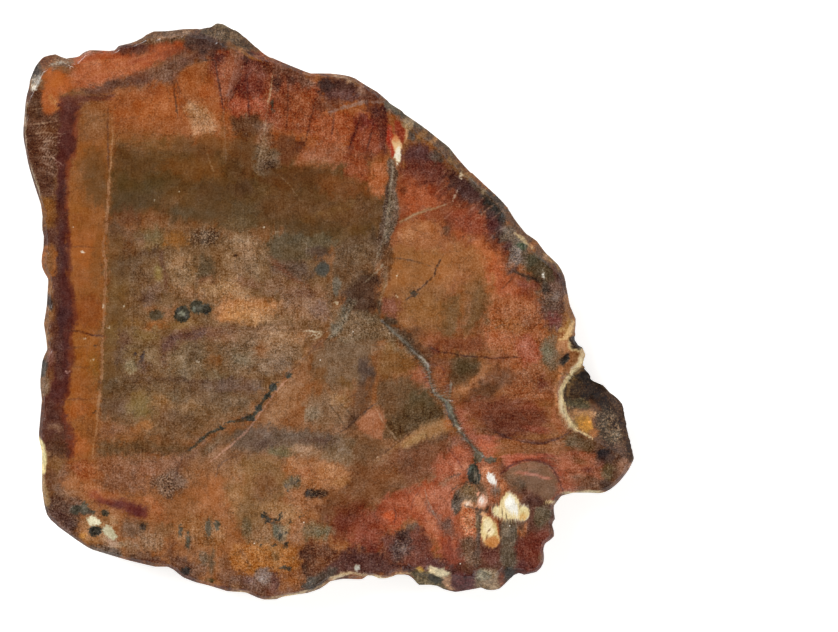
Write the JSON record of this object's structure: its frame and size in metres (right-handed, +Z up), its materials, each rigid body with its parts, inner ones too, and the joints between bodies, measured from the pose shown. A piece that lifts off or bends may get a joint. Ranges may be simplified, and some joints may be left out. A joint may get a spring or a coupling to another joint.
{
  "type": "petrified wood slice",
  "caption": "Flat polished slice of petrified wood with a fluted natural rim, a broken lobe, an open seam and small pits.",
  "frame": {"origin": "centre of the slice's box in plan, on the sawn back that it lies on", "axes": "+Z up out of the polished face, +X along the slice's longest extent towards the broken lobe, +Y towards the bark knob"},
  "size_m": [0.052, 0.0492, 0.006],
  "materials": {
    "petrified_wood": "polished silicified wood, sawn back, rough natural rim"
  },
  "bodies": {
    "root": {"petrified_wood_slice": "petrified_wood"}
  },
  "joints": []
}
